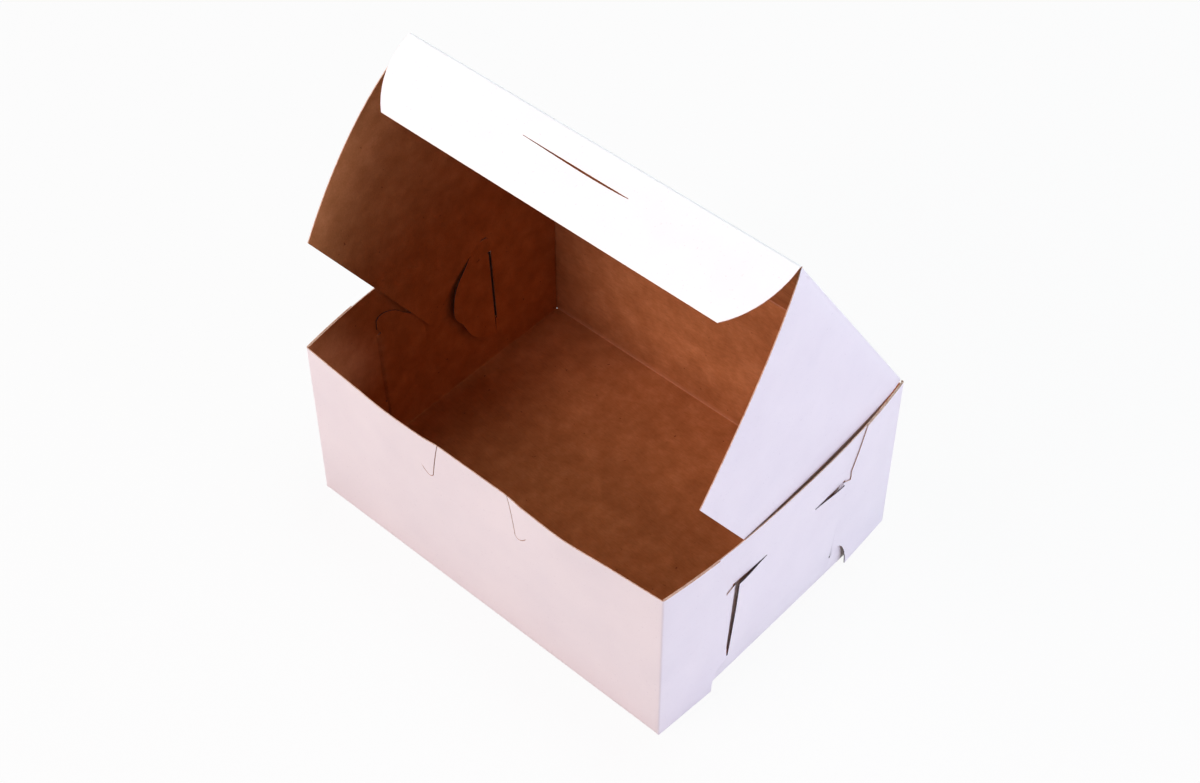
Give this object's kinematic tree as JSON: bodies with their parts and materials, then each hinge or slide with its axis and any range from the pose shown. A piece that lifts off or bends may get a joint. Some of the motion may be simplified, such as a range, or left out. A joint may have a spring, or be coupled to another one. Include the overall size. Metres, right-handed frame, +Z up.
{
  "type": "bakery box",
  "caption": "Lock-corner paperboard bakery box folded from one sheet, with a hinged lid, a slotted front tuck flap and two side flaps.",
  "frame": {"origin": "middle of the floor's underside, on the table", "axes": "+X to the right seen from the front, +Y from the front wall to the hinged back wall, +Z up"},
  "size_m": [0.24, 0.1798, 0.2486],
  "materials": {
    "tray_board": "white coated outside, kraft brown inside",
    "lid_board": "white coated outside, kraft brown inside"
  },
  "bodies": {
    "tray": {"tray": "tray_board"},
    "lid": {"lid_panel": "lid_board"},
    "front_flap": {"lid_front_flap": "lid_board"},
    "left_flap": {"lid_left_flap": "lid_board"},
    "right_flap": {"lid_right_flap": "lid_board"}
  },
  "joints": [
    {"name": "lid_fold", "type": "hinge", "parent": "tray", "child": "lid", "pos_m": [0, 0.08775, 0.1054], "axis": [-1, 0, 0], "range_deg": [-57, 123]},
    {"name": "front_flap_fold", "type": "hinge", "parent": "lid", "child": "front_flap", "pos_m": [0, -0.00505, 0.2483], "axis": [-1, 0, 0], "range_deg": [-10, 90]},
    {"name": "right_flap_fold", "type": "hinge", "parent": "lid", "child": "right_flap", "pos_m": [0.11275, 0.08721, 0.10505], "axis": [0, -0.5446, 0.8387], "range_deg": [-85, 0]},
    {"name": "left_flap_fold", "type": "hinge", "parent": "lid", "child": "left_flap", "pos_m": [-0.11275, 0.08721, 0.10505], "axis": [0, 0.5446, -0.8387], "range_deg": [-85, 0]}
  ]
}
